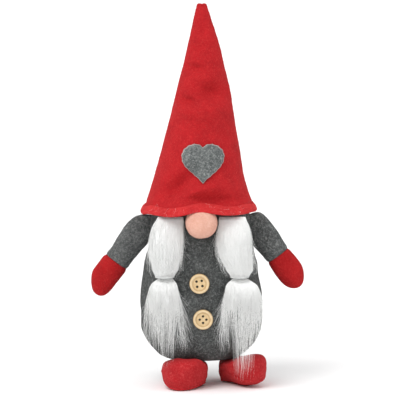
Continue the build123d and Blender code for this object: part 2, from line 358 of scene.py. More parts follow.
# dark, middle, light and fibre colour, then the share of light fibres and of melange
FELTS = {
    "red": ((0.345, 0.007, 0.011), (0.41, 0.009, 0.013), (0.455, 0.012, 0.016),
            (0.60, 0.035, 0.034), 0.5, 0.0),
    "foot": ((0.335, 0.008, 0.012), (0.40, 0.012, 0.016),
             (0.45, 0.018, 0.022), (0.66, 0.08, 0.08), 0.5, 0.0),
    "hem": ((0.40, 0.010, 0.014), (0.505, 0.017, 0.020), (0.575, 0.024, 0.026),
            (0.78, 0.09, 0.085), 0.5, 0.0),
    "mitten": ((0.29, 0.005, 0.007), (0.355, 0.007, 0.009),
               (0.40, 0.010, 0.012), (0.54, 0.028, 0.028), 0.5, 0.0),
    "grey": ((0.027, 0.029, 0.029), (0.054, 0.058, 0.057), (0.088, 0.093, 0.090),
             (0.20, 0.205, 0.20), 0.55, 0.6),
    "sleeve": ((0.036, 0.038, 0.038), (0.076, 0.080, 0.079),
               (0.122, 0.127, 0.124), (0.26, 0.265, 0.26), 0.55, 0.6),
    "heart": ((0.05, 0.056, 0.056), (0.118, 0.128, 0.125),
              (0.18, 0.19, 0.185), (0.34, 0.35, 0.345), 0.5, 0.7),
    "cut_edge": ((0.20, 0.18, 0.17), (0.30, 0.27, 0.26),
                 (0.38, 0.35, 0.34), (0.52, 0.50, 0.48), 0.6, 0.0),
    "nose": ((0.64, 0.32, 0.235), (0.71, 0.385, 0.295),
             (0.76, 0.45, 0.35), (0.86, 0.57, 0.47), 0.35, 0.0),
}
felts = {name: felt_material(f"felt_{name}", *look) for name, look in FELTS.items()}
hair_white = hair_material("hair_white", (0.975, 0.98, 0.97), (0.88, 0.89, 0.88))
hair_strand = hair_material("hair_strand", (0.99, 0.995, 0.985), (0.94, 0.95, 0.935))
thread_pale = strand_material("thread_pale", (0.80, 0.81, 0.80), (0.55, 0.57, 0.56))
fibre_red = strand_material("fibre_red", (0.80, 0.07, 0.06), (0.60, 0.03, 0.03))
fibre_grey = strand_material("fibre_grey", (0.50, 0.50, 0.50), (0.12, 0.12, 0.13))
fibre_pink = strand_material("fibre_pink", (0.96, 0.62, 0.52), (0.88, 0.46, 0.36))


def dress(piece, material, body, slot, *nodes):
    """Gives a finished piece its material and its body, and hides the CAD nodes it stands for; slot is not
    used.
    """
    piece.data.materials.append(material)
    if body:
        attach(piece, body)
    if nodes:
        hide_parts(*nodes)
    return piece


# ---------------------------------------------------------------- hat
hat_ovals = Sections(["hat_front_panel", "hat_back_panel"])
hem_low, hem_high = (corner.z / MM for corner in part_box("hat_hem"))
hem_height = hem_high - hem_low
brim_z, tip_z = hat_ovals.low, hat_ovals.high
hat_waves = Waves(34.0)
hat_small_waves = Waves(11.0)
PANEL_COLUMNS = 112
HAT_ROWS = 150
FELT = 1.5
PUCKER = 2.6  # from one stitch of the side seams to the next
TIP_CAP = 1.6  # the panels end this far below the tip

HAT_FOLDS = [  # out by, x, z, half length, half height, tilt, for the soft folds on the front
    (-7.4, 8.5, 143.8, 14.5, 3.4, -5),  # the hollow over the nose and brim
    (3.6, -5.0, 150.6, 9.5, 2.8, 28),  # the ridge above it
    (1.6, 9.0, 154.0, 9.0, 2.4, 4),
    (-6.4, -17.5, 153.6, 13.0, 4.2, 46),  # the crease that runs down from the heart
    (1.6, -26.0, 161.0, 8.0, 4.0, 44),
    (1.4, -22.0, 144.0, 6.0, 3.0, 30),
    (-7.6, 8.0, 223.4, 7.8, 4.4, -6),  # the dent in the upper hat
    (1.6, 6.0, 236.0, 6.5, 4.0, 0),
    (4.4, 6.5, 212.4, 9.5, 6.6, -4),
    (-4.4, -8.6, 216.8, 5.2, 2.2, -18),
    (3.0, -9.0, 209.4, 6.5, 5.0, -8),
    (-3.8, -3.6, 241.0, 6.0, 2.2, -8),
    (-1.8, 0.0, 256.0, 4.4, 2.6, 0),
    (-1.6, 1.4, 268.5, 3.0, 3.2, 10),
    (-1.6, 17.0, 196.0, 4.0, 8.0, 12),
]
BACK_FOLDS = [
    (-2.6, -8.0, 147.0, 16.0, 4.2, 8),
    (1.2, -4.0, 156.0, 14.0, 4.6, 4),
    (1.0, -4.0, 204.0, 12.0, 6.0, 0),
    (-2.2, 7.0, 215.0, 9.0, 4.0, -15),
    (-1.2, -5.0, 243.0, 6.0, 4.0, 12),
]


def hat_surface(angle, z):
    """The hat's outer face in mm at an angle round it, 0 at +X and 90 degrees at the back."""
    x0, half_x, y0, half_y = hat_ovals.at(z)
    s = np.sin(angle)
    point = oval(x0, half_x, y0, half_y, angle, z)
    x = point[..., 0]
    front = smoothstep(0.15, 0.6, -s)
    up = z - brim_z
    # the brim is pushed out by the nose and by the roots of the hair
    push = 5.2 * bell(x, z, 0.3, brim_z, 10.0, 8.5)
    push += 2.6 * bell(np.abs(x), z, 25.0, brim_z, 8.0, 11.0)
    # the wall folds in above the nose, and dents where the hat has slumped
    for depth, x_mid, z_mid, wide, tall, tilt in HAT_FOLDS:
        push += depth * bell(x, z, x_mid, z_mid, wide, tall, tilt)
    back = smoothstep(0.15, 0.6, s)
    slump = 0
    for depth, x_mid, z_mid, wide, tall, tilt in BACK_FOLDS:
        slump = slump + depth * bell(x, z, x_mid, z_mid, wide, tall, tilt)
    # both side seams draw the felt in a little, with a small pucker at every stitch
    seam = np.exp(-0.5 * (s * half_x / 1.1) ** 2)
    pucker = 0.22 * np.sin(z * TURN / PUCKER)
    wobble = 0.4 * hat_waves(point) * smoothstep(tip_z, tip_z - 40, z) + 0.12 * hat_small_waves(point)
    # the hem's stitching draws a groove round the hat
    groove = 0.45 * np.exp(-0.5 * ((up - hem_height - 0.4) / 0.9) ** 2)
    push_out(point, push * front + slump * back - seam * (0.35 - pucker) + wobble - groove, angle)
    return point


def brim_drop(angle):
    """How much higher or lower than level the hem hangs, in mm."""
    c, s = np.cos(angle), np.sin(angle)
    x = 44.0 * c
    front = smoothstep(0.1, 0.5, -s)
    arch = 3.9 * np.exp(-0.5 * ((x - 0.3) / 9.5) ** 2)
    sag = -0.3 * np.exp(-0.5 * ((np.abs(x) - 24) / 9.0) ** 2)
    return (arch + sag + 1.5) * front + 0.9 * c + 0.3 * np.sin(5 * angle + 1.0)


def panel(name, first, last):
    """One of the hat's two felt panels, from seam to seam, as a sheet with its own thickness."""
    angles = np.linspace(first, last, PANEL_COLUMNS)
    outer = []
    for t in np.linspace(0, 1, HAT_ROWS):
        z = brim_z + brim_drop(angles) * (1 - t) ** 3 + t * (tip_z - TIP_CAP - brim_z)
        outer.append(hat_surface(angles, z))
    outer = np.array(outer)
    inward = np.stack([-np.cos(angles), -np.sin(angles), 0 * angles], axis=-1)
    inner = outer + inward[None] * FELT * np.linspace(1, 0.7, HAT_ROWS)[:, None, None]
    inner[-1, :, 2] -= 0.6
    count = HAT_ROWS * PANEL_COLUMNS
    points = np.concatenate([outer.reshape(-1, 3), inner.reshape(-1, 3)]) * MM
    faces = ring_faces(HAT_ROWS, PANEL_COLUMNS, closed=False)
    faces += [(d + count, c + count, b + count, a + count) for a, b, c, d in faces]
    index = np.arange(count).reshape(HAT_ROWS, PANEL_COLUMNS)
    border = np.concatenate([index[0], index[1:, -1], index[-1, -2::-1], index[-2:0:-1, 0]]).tolist()
    for a, b in zip(border, border[1:] + border[:1]):
        faces.append((b, a, a + count, b + count))
    return new_object(name, points, faces), outer


hat_front, front_rows = panel("hat_front", math.pi, TURN)
hat_back, back_rows = panel("hat_back", 0, math.pi)
dress(hat_front, felts["red"], "torso", "red_felt", "hat_front_panel", "hat_stuffing")
dress(hat_back, felts["red"], "torso", "red_felt", "hat_back_panel")


# the tip is a small gathered cap of felt that closes both panels
tip_angles = around(48)
crumple = 1 + 0.03 * np.sin(7 * tip_angles)
x0, half_x, y0, half_y = hat_ovals.at(tip_z - 0.3)
tip_rows = []
for grow, rise in ((0.98, -2.4), (1.0, -TIP_CAP), (0.93, -0.9), (0.72, -0.45), (0.4, -0.4), (0.12, -0.6)):
    z = tip_z + rise + 0.2 * np.sin(3 * tip_angles)
    tip_rows.append(oval(x0, half_x * grow * crumple, y0, half_y * grow * crumple, tip_angles, z))
hat_tip = tube_mesh("hat_tip", np.array(tip_rows) * MM)
dress(hat_tip, felts["red"], "torso", "red_felt")

# the hem is a strip folded up outside the brim
HEM_COLUMNS = 288
hem_angles = around(HEM_COLUMNS)
HEM_PROFILE = (  # out from the hat's face, up from the brim
    (-1.3, 0.9), (-0.9, 0.1), (0.0, -0.3), (0.9, -0.1), (1.5, 0.6), (1.65, 1.8), (1.5, 3.4),
    (1.25, 4.9), (0.95, 5.7), (0.45, 6.15), (-0.2, 6.1), (-0.5, 5.0), (-0.5, 3.0), (-0.7, 1.8))
hem_waves = Waves(16.0)
drop = brim_drop(hem_angles)
hem_rows = []
for out, up in HEM_PROFILE:
    z = brim_z + drop + up * (1 + 0.05 * np.sin(9 * hem_angles))
    base = hat_surface(hem_angles, np.maximum(z, brim_z))
    base[:, 2] = z
    puff = out + 0.2 * hem_waves(base) * (out > 0.2)
    push_out(base, puff, hem_angles)
    hem_rows.append(base)
hem_grid = np.array(hem_rows)
hem_faces = ring_faces(len(HEM_PROFILE), HEM_COLUMNS)
last_row = (len(HEM_PROFILE) - 1) * HEM_COLUMNS
for i in range(HEM_COLUMNS):
    after = (i + 1) % HEM_COLUMNS
    hem_faces.append((last_row + i, last_row + after, after, i))
hat_hem = new_object("hat_hem_fold", hem_grid.reshape(-1, 3) * MM, hem_faces)
dress(hat_hem, felts["hem"], "torso", "red_hem_felt", "hat_hem")

# ---------------------------------------------------------------- heart
HEART_WIDE, HEART_LOW, HEART_HIGH, HEART_NOTCH = 16.0, 14.4, 13.3, 11.3
HEART_MIDDLE = 15.6  # above the patch's tip
HEART_THICK = 2.0
heart_low, heart_high = box_mm("hat_heart_patch")
heart_x = (heart_low.x + heart_high.x) / 2
heart_z = heart_low.z + HEART_MIDDLE


def bezier(points, count):
    """Points along a cubic curve, without its last."""
    t = np.linspace(0, 1, count, endpoint=False)[:, None]
    a, b, c, d = (np.array(p, float) for p in points)
    return (1 - t) ** 3 * a + 3 * (1 - t) ** 2 * t * b + 3 * (1 - t) * t * t * c + t ** 3 * d


def hat_front_y(x, z):
    """How far in front the hat's outer face is at each x and z, in mm."""
    x0, half_x, _, _ = hat_ovals.at(z)
    angle = -np.arccos(np.clip((x - x0) / half_x, -1, 1))
    return hat_surface(angle, z)[..., 1]


lower_side = [(0, -HEART_LOW), (0.45 * HEART_WIDE, -0.5 * HEART_LOW),
              (HEART_WIDE, -0.25 * HEART_LOW), (HEART_WIDE, 0.35 * HEART_HIGH)]
upper_side = [(HEART_WIDE, 0.35 * HEART_HIGH), (HEART_WIDE, HEART_HIGH),
              (0.2 * HEART_WIDE, 1.3 * HEART_HIGH), (0, HEART_NOTCH)]
right_half = np.concatenate([bezier(lower_side, 36), bezier(upper_side, 36)])
left_half = (right_half[1:] * (-1, 1))[::-1]
outline = np.concatenate([right_half, [(0, HEART_NOTCH)], left_half])
steps = np.arange(len(outline))
heart_wobble = 1 + 0.012 * np.sin(steps * 0.9) + 0.008 * np.sin(steps * 2.3)
outline = outline * heart_wobble[:, None]
HEART_PROFILE = (  # share of the outline, height above the hat
    (0.12, 1.0), (0.3, 1.0), (0.5, 1.0), (0.68, 1.0), (0.82, 1.0), (0.92, 0.99),
    (0.965, 0.95), (0.988, 0.86), (1.0, 0.72), (1.003, 0.45), (1.0, 0.18), (0.985, 0.02))
HEART_EDGE_RING = 6  # the cut edge shows from this ring outward
heart_rings = []
for share, height in HEART_PROFILE:
    x = heart_x + outline[:, 0] * share
    z = heart_z + outline[:, 1] * share
    lift = HEART_THICK * height + 0.35 * share ** 6
    heart_rings.append(np.stack([x, hat_front_y(x, z) - lift, z], axis=-1))
heart_waves = Waves(7.0)
heart_grid = np.array(heart_rings)
heart_grid[..., 1] += 0.12 * heart_waves(heart_grid)
heart = tube_mesh("heart_patch", heart_grid * MM)
dress(heart, felts["heart"], "torso", "grey_patch_felt", "hat_heart_patch")
heart.data.materials.append(felts["cut_edge"])
for face in heart.data.polygons:
    ring = min(face.vertices) // len(outline)
    on_edge = HEART_EDGE_RING <= ring < len(heart_rings) and len(face.vertices) == 4
    face.material_index = 1 if on_edge else 0

# ---------------------------------------------------------------- nose
nose_low, nose_high = box_mm("nose_cover")
nose_radius = (nose_high.x - nose_low.x) / 2
NOSE_DEPTH = 11.0
nose_middle = np.array([(nose_low.x + nose_high.x) / 2, nose_low.y + NOSE_DEPTH, nose_low.z + nose_radius])
nose_waves, nose_fine = Waves(14.0), Waves(4.0)
turn, rise = np.meshgrid(around(72), np.linspace(-1.5, 1.5, 44))
nose_grid = np.stack([np.cos(rise) * np.cos(turn), np.cos(rise) * np.sin(turn), np.sin(rise)], axis=-1)
flatten = 1 - 0.03 * np.abs(np.sin(rise)) ** 4
nose_size = np.stack([nose_radius * flatten, NOSE_DEPTH * flatten, nose_radius * flatten], axis=-1)
nose_grid = nose_grid * nose_size + nose_middle
swell = 0.14 * nose_waves(nose_grid) + 0.06 * nose_fine(nose_grid)
nose_grid += (nose_grid - nose_middle) / nose_radius * swell[..., None]
nose = tube_mesh("nose", nose_grid * MM)
dress(nose, felts["nose"], "torso", "nose_felt", "nose_cover", "nose_stuffing")

# ---------------------------------------------------------------- stuffed felt
SETTLE_FRAMES = 14
SETTLE_GROW = 0.035  # how much more felt there is than the stuffing needs
SETTLE_PRESSURE = 4.0
SETTLE_CAP = 0.8
SETTLE_FADE = 4  # rings from each end over which the swell comes in


def settle(rows, every):
    """A tube of felt, pressed out by its stuffing between its side seams, by at most SETTLE_CAP."""
    coarse = rows[::every, ::every]
    row_count, column_count = coarse.shape[:2]
    bag = tube_mesh("settling_felt", coarse * MM)
    index = list(range(row_count * column_count))
    ends = index[:column_count] + index[-column_count:]
    seams = [j * column_count + i for j in range(row_count) for i in (0, column_count // 2)]
    bag.vertex_groups.new(name="sewn").add(ends + seams, 1.0, "REPLACE")
    cloth = bag.modifiers.new("cloth", "CLOTH")
    cloth.settings.vertex_group_mass = "sewn"
    cloth.settings.use_pressure = True
    cloth.settings.uniform_pressure_force = SETTLE_PRESSURE
    cloth.settings.effector_weights.gravity = 0
    cloth.settings.shrink_min = -SETTLE_GROW
    cloth.collision_settings.use_collision = False
    for frame_number in range(1, SETTLE_FRAMES + 1):
        bpy.context.scene.frame_set(frame_number)
    settled = bag.evaluated_get(bpy.context.evaluated_depsgraph_get())
    points = np.array([v.co for v in settled.data.vertices])[: row_count * column_count]
    moved = points.reshape(coarse.shape) / MM - coarse
    bpy.data.objects.remove(bag, do_unlink=True)
    bpy.context.scene.frame_set(1)
    # the stuffing's even swell is in the shape already, so only the unevenness is kept
    outward = coarse - coarse.mean(axis=1, keepdims=True)
    outward /= np.linalg.norm(outward, axis=-1, keepdims=True) + 1e-9
    swell = (moved * outward).sum(axis=-1)
    uneven = swell - swell[2:-2].mean()
    fade = np.clip(np.arange(row_count) / SETTLE_FADE, 0, 1)[:, None]
    uneven = np.clip(uneven, -SETTLE_CAP, SETTLE_CAP) * fade * fade[::-1]
    # back to the fine rows and columns
    wrapped = np.concatenate([uneven, uneven[:, :1]], axis=1)
    fine_columns = np.arange(rows.shape[1]) / every
    fine_rows = np.arange(rows.shape[0]) / every
    fine = np.array([np.interp(fine_columns, np.arange(column_count + 1), line) for line in wrapped])
    fine = np.array([np.interp(fine_rows, np.arange(row_count), line) for line in fine.T]).T
    for _ in range(3):
        fine = (np.roll(fine, 1, axis=1) + 2 * fine + np.roll(fine, -1, axis=1)) / 4
        fine[1:-1] = (fine[:-2] + 2 * fine[1:-1] + fine[2:]) / 4
    away = rows - rows.mean(axis=1, keepdims=True)
    away /= np.linalg.norm(away, axis=-1, keepdims=True) + 1e-9
    return rows + away * fine[..., None]


# ---------------------------------------------------------------- body
body_ovals = Sections(["body_front_panel", "body_back_panel"])
base_z = body_ovals.low
BODY_COLUMNS = 192
BODY_TOP_Z = 152.0  # inside the hat
body_angles = around(BODY_COLUMNS)
body_waves, body_small_waves = Waves(36.0), Waves(12.0)


def body_surface(angle, z):
    """The body's outer face in mm, drawn in at its side seams and dented by the buttons."""
    x0, half_x, y0, half_y = body_ovals.at(z)
    s = np.sin(angle)
    point = oval(x0, half_x, y0, half_y, angle, z)
    seam = np.exp(-0.5 * (s * half_x / 1.2) ** 2)
    pucker = 0.2 * np.sin(z * TURN / 3.0)
    out = 0.55 * body_waves(point) + 0.14 * body_small_waves(point) - seam * (0.75 - pucker)
    front = smoothstep(0.2, 0.6, -s)
    for name in ("button_upper", "button_lower"):
        low, high = box_mm(name)
        x, middle_z = (low.x + high.x) / 2, (low.z + high.z) / 2
        out = out - 0.9 * bell(point[..., 0], z, x, middle_z, 4.6, 4.6) * front
    push_out(point, out * smoothstep(base_z, base_z + 9, z), angle)
    return point


body_rows = []
x0, half_x, y0, half_y = body_ovals.at(base_z)
for share in (0.2, 0.45, 0.7, 0.88, 0.96):
    dome = 0.45 + 0.25 * math.cos(share * math.pi)
    body_rows.append(oval(x0, half_x * share, y0, half_y * share, body_angles, base_z + dome))
for z in base_z + 0.15 + (BODY_TOP_Z - base_z) * np.linspace(0, 1, 150) ** 1.25:
    body_rows.append(body_surface(body_angles, z))
body = tube_mesh("body", settle(np.array(body_rows), every=3) * MM)

# ---------------------------------------------------------------- arms
ARM_SLOPE = {"left": 36.3, "right": 36.5}  # degrees from upright
ARM_ROOT_Z = {"left": 121.5, "right": 124.8}
ARM_COLUMNS = 72
arm_angles = around(ARM_COLUMNS)
ARM_TOP = {"left": 130.8, "right": 129.0}
SHOULDER_ROUND = {"left": 2.6, "right": 4.4}
MITTEN_OVER = {"left": 0.7, "right": 2.3}  # how far the rounded end passes the CAD's flat one
MITTEN_ROUND = {"left": 15.0, "right": 15.5}  # length of the rounded end
ARM_PINCH = 0.04
TIP_SHIFT = {"left": -0.9, "right": -2.6}  # how far the end turns to the body's side


def pinched(angle, pinch):
    """A ring with a little ridge on both edges, where its front and back are sewn."""
    ridge = np.exp(-0.5 * (np.sin(angle) / 0.09) ** 2)
    return 1 + pinch * ridge


def arm_sections(side):
    """Ovals across a sleeve and its mitten, along the arm."""
    slope = math.radians(ARM_SLOPE[side])
    sign = SIDES[side]
    down_out = (sign * math.sin(slope), 0, -math.cos(slope))
    across = (sign * math.cos(slope), 0, math.sin(slope))
    shoulder_x = joints[f"{side}_arm_swing"]["pos_m"][0] / MM
    origin = (shoulder_x, 0, ARM_ROOT_Z[side])
    return Sections([f"{side}_sleeve", f"{side}_mitten"], origin, (across, (0, 1, 0), down_out))


def arm_rows(side, sections, distances, waves, cuff, rounded=False):
    """Rings of an arm at distances along it, drawn in at the cuff seam."""
    end = sections.high + MITTEN_OVER[side]
    start = end - MITTEN_ROUND[side]
    _, full_a, _, full_b = sections.at(start)
    rows = []
    for t in distances:
        mid_a, half_a, mid_b, half_b = sections.at(np.clip(t, 16.0, sections.high - 3.0))
        groove = 0.75 * math.exp(-0.5 * ((t - cuff) / 0.9) ** 2)
        if rounded and t > start:
            scale = math.sqrt(max(1 - ((t - start) / (end - start)) ** 2, 0.0004))
            half_a, half_b = full_a * scale, full_b * scale
        else:
            half_a, half_b = half_a - groove, half_b - groove
        mid_a = mid_a + TIP_SHIFT[side] * smoothstep(start, end, t)
        ring = oval(0, half_a, mid_b, half_b, arm_angles, t)
        ring[:, 0] = mid_a + ring[:, 0] * pinched(arm_angles, ARM_PINCH)
        rows.append(ring)
    grid = np.array(rows)
    centre = grid.mean(axis=1, keepdims=True)
    outward = grid - centre
    size = np.linalg.norm(outward, axis=-1, keepdims=True)
    swell = 0.35 * waves(grid)[..., None] * np.clip(size / 5.0, 0, 1)
    return sections.place(grid + outward / (size + 1e-6) * swell)


# ---------------------------------------------------------------- fibres
def strand_mesh(name, paths, radii):
    """Three-sided tapered fibres: paths[strand][point] in mm, radii[strand][point] in mm."""
    count, steps, _ = paths.shape
    tangent = np.gradient(paths, axis=1)
    tangent /= np.linalg.norm(tangent, axis=-1, keepdims=True) + 1e-9
    side = np.cross(tangent, np.array([0.31, 0.87, 0.38]))
    side /= np.linalg.norm(side, axis=-1, keepdims=True) + 1e-9
    third = np.cross(tangent, side)
    corners = []
    for corner in range(3):
        turn = TURN * corner / 3
        corners.append(paths + radii[..., None] * (math.cos(turn) * side + math.sin(turn) * third))
    points = np.stack(corners, axis=2)
    index = np.arange(count * steps * 3).reshape(count, steps, 3)
    faces = []
    for corner in range(3):
        after = (corner + 1) % 3
        a, b = index[:, :-1, corner], index[:, :-1, after]
        c, d = index[:, 1:, after], index[:, 1:, corner]
        faces += [np.stack([a, b, c], axis=-1).reshape(-1, 3), np.stack([a, c, d], axis=-1).reshape(-1, 3)]
    faces.append(index[:, 0, ::-1])
    faces.append(index[:, -1, :])
    return new_object(name, points.reshape(-1, 3) * MM, np.concatenate(faces))


def surface_samples(piece, count, keep=None):
    """Random points of a piece's surface and their outward normals, in mm."""
    mesh = piece.data
    centres = np.array([p.center for p in mesh.polygons]) / MM
    normals = np.array([p.normal for p in mesh.polygons])
    areas = np.array([p.area for p in mesh.polygons])
    if keep is not None:
        areas = areas * keep(centres, normals)
    picked = rng.choice(len(areas), count, p=areas / areas.sum())
    jitter = rng.normal(0, 0.35, (count, 3))
    jitter -= normals[picked] * (jitter * normals[picked]).sum(axis=1, keepdims=True)
    return centres[picked] + jitter, normals[picked]


def fuzz(name, piece, look, count, length, rise, radius, keep=None):
    """Short stray fibres that lie on a felt piece, dressed in look: material, body and slot, of which the
    slot is not used.
    """
    start, normal = surface_samples(piece, count, keep)
    random = rng.normal(size=(count, 3))
    flat = random - normal * (random * normal).sum(axis=1, keepdims=True)
    flat /= np.linalg.norm(flat, axis=1, keepdims=True)
    bend = np.cross(flat, normal) * rng.normal(0, 0.5, (count, 1))
    size = length * rng.uniform(0.4, 1.4, (count, 1))
    lift = rise * rng.uniform(0.1, 1.0, (count, 1)) ** 2
    t = np.linspace(0, 1, 5)[None, :, None]
    along = flat[:, None] * t + bend[:, None] * t * t
    up = np.sin(t * math.pi * rng.uniform(0.5, 1.0, (count, 1, 1)))
    paths = start[:, None] + along * size[:, None] + normal[:, None] * (lift[:, None] * up + 0.03)
    radii = radius * (1 - 0.75 * t[..., 0]) * np.ones((count, 1))
    return dress(strand_mesh(name, paths, radii), *look)


dress(body, felts["grey"], "torso", "grey_felt", "body_front_panel", "body_back_panel", "body_base_panel",
      "body_stuffing", "pellet_bag")
BODY_FUZZ = (27, 132)  # the heights between which it can be seen
fuzz("body_fibres", body, (fibre_grey, "torso", "grey_felt"), 3400, 2.6, 0.5, 0.05,
     lambda c, n: (c[:, 2] < BODY_FUZZ[1]) & (c[:, 2] > BODY_FUZZ[0]))
fuzz("hat_fibres_front", hat_front, (fibre_red, "torso", "red_felt"), 1800, 2.2, 0.4, 0.045,
     lambda c, n: n[:, 1] < 0.2)
fuzz("hat_fibres_back", hat_back, (fibre_red, "torso", "red_felt"), 1400, 2.2, 0.4, 0.045,
     lambda c, n: n[:, 1] > -0.2)
fuzz("nose_fibres", nose, (fibre_pink, "torso", "nose_felt"), 700, 1.6, 0.35, 0.035,
     lambda c, n: n[:, 1] < 0.3)

SLEEVE_SHOWS_X = 42  # nearer the middle it is inside the body
for side, sign in SIDES.items():
    sections = arm_sections(side)
    mitten = Sections([f"{side}_mitten"], sections.origin, sections.axes)
    cuff = mitten.low
    end = mitten.high
    waves = Waves(20.0)
    sleeve_rows = arm_rows(side, sections, np.linspace(-9, cuff - 0.1, 60), waves, cuff)
    thin = np.array([smoothstep(39.0, 52.0, np.abs(ring[:, 0].mean())) for ring in sleeve_rows])
    sleeve_rows[..., 1] *= (0.45 + 0.55 * thin)[:, None]
    under_brim = (ARM_TOP[side] - sleeve_rows[..., 2]) / SHOULDER_ROUND[side]
    sleeve_rows[..., 2] = ARM_TOP[side] - SHOULDER_ROUND[side] * np.log1p(np.exp(under_brim))
    sleeve = tube_mesh(f"{side}_sleeve_felt", sleeve_rows * MM)
    dress(sleeve, felts["sleeve"], None, "grey_felt", f"{side}_sleeve", f"{side}_arm_stuffing")
    sleeve_fuzz = fuzz(f"{side}_sleeve_fibres", sleeve, (fibre_grey, None, "grey_felt"),
                       1100, 2.6, 0.7, 0.05, lambda c, n: np.abs(c[:, 0]) > SLEEVE_SHOWS_X)
    for piece in (sleeve, sleeve_fuzz):
        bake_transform(piece)

    stretch = end + MITTEN_OVER[side] - cuff - 0.1
    reach = cuff + 0.1 + stretch * np.sin(np.linspace(0, 1, 60) * math.pi / 2)
    mitten_rows = arm_rows(side, sections, reach, waves, cuff, rounded=True)
    mitten_piece = tube_mesh(f"{side}_mitten_felt", mitten_rows * MM)
    dress(mitten_piece, felts["mitten"], f"{side}_arm", "red_felt", f"{side}_mitten")
    fuzz(f"{side}_mitten_fibres", mitten_piece, (fibre_red, f"{side}_arm", "red_felt"),
         500, 1.8, 0.3, 0.04)

# ---------------------------------------------------------------- feet
FOOT_COLUMNS = 120
foot_angles = around(FOOT_COLUMNS)
FOOT_WIDEST_Z = 7.0
FOOT_FUZZ = (2.5, 19)  # lower fibres would go through the floor, higher ones are hidden
FOOT_SHOULDER = {"left": 3.8, "right": 5.2}  # the higher, the squarer the upper's rounded top edge
TOE_LIFT = {"left": 5.0, "right": 0.4}
LOW_X_LIFT = {"left": 11.0, "right": 6.0}  # how far the sole's rim curls up, on its -X side
HIGH_X_LIFT = {"left": 10.0, "right": 2.4}
LEAN = {"left": -0.16, "right": 0.32}  # how far a foot's top leans to +X for its height
TOE_SHIFT = {"left": 0.0, "right": -0.8}
TOE_THICK = {"left": 6.4, "right": 5.0}  # how much higher than the ankle the toe end is stuffed
TOE_TILT = {"left": 1.8, "right": 0.0}  # how much more of that the toe's +X side gets than its -X side


def shape_foot(rows, side, half_width, half_length, top):
    """Narrows the heel, curls the sole's rim off the floor and stuffs the toe end fuller."""
    across, forward, height = (rows[..., i].copy() for i in range(3))
    rows[..., 0] *= 1 - 0.24 * smoothstep(8.0, -20.0, forward)
    low = np.clip(1 - height / top, 0, 1)
    curl = TOE_LIFT[side] * np.clip((forward - 0.25 * half_length) / (0.75 * half_length), 0, 1) ** 2
    side_lift = np.where(across < 0, LOW_X_LIFT[side], HIGH_X_LIFT[side])
    outer_share = np.clip(np.abs(across) / half_width, 0, 1.1)
    curl += side_lift * smoothstep(-20.0, 8.0, forward) * outer_share ** 2.4
    fuller = TOE_THICK[side] + TOE_TILT[side] * np.clip(across / half_width, -1, 1)
    stuffed = fuller * smoothstep(8.0, 20.0, forward) * np.clip(height / top, 0, 1)
    rows[..., 2] = height + curl * low + stuffed
    rows[..., 0] += LEAN[side] * smoothstep(0.0, 12.0, forward) * np.clip(rows[..., 2] - 8.0, 0, None)
    rows[..., 0] += TOE_SHIFT[side] * smoothstep(-4.0, 16.0, forward)
    return rows


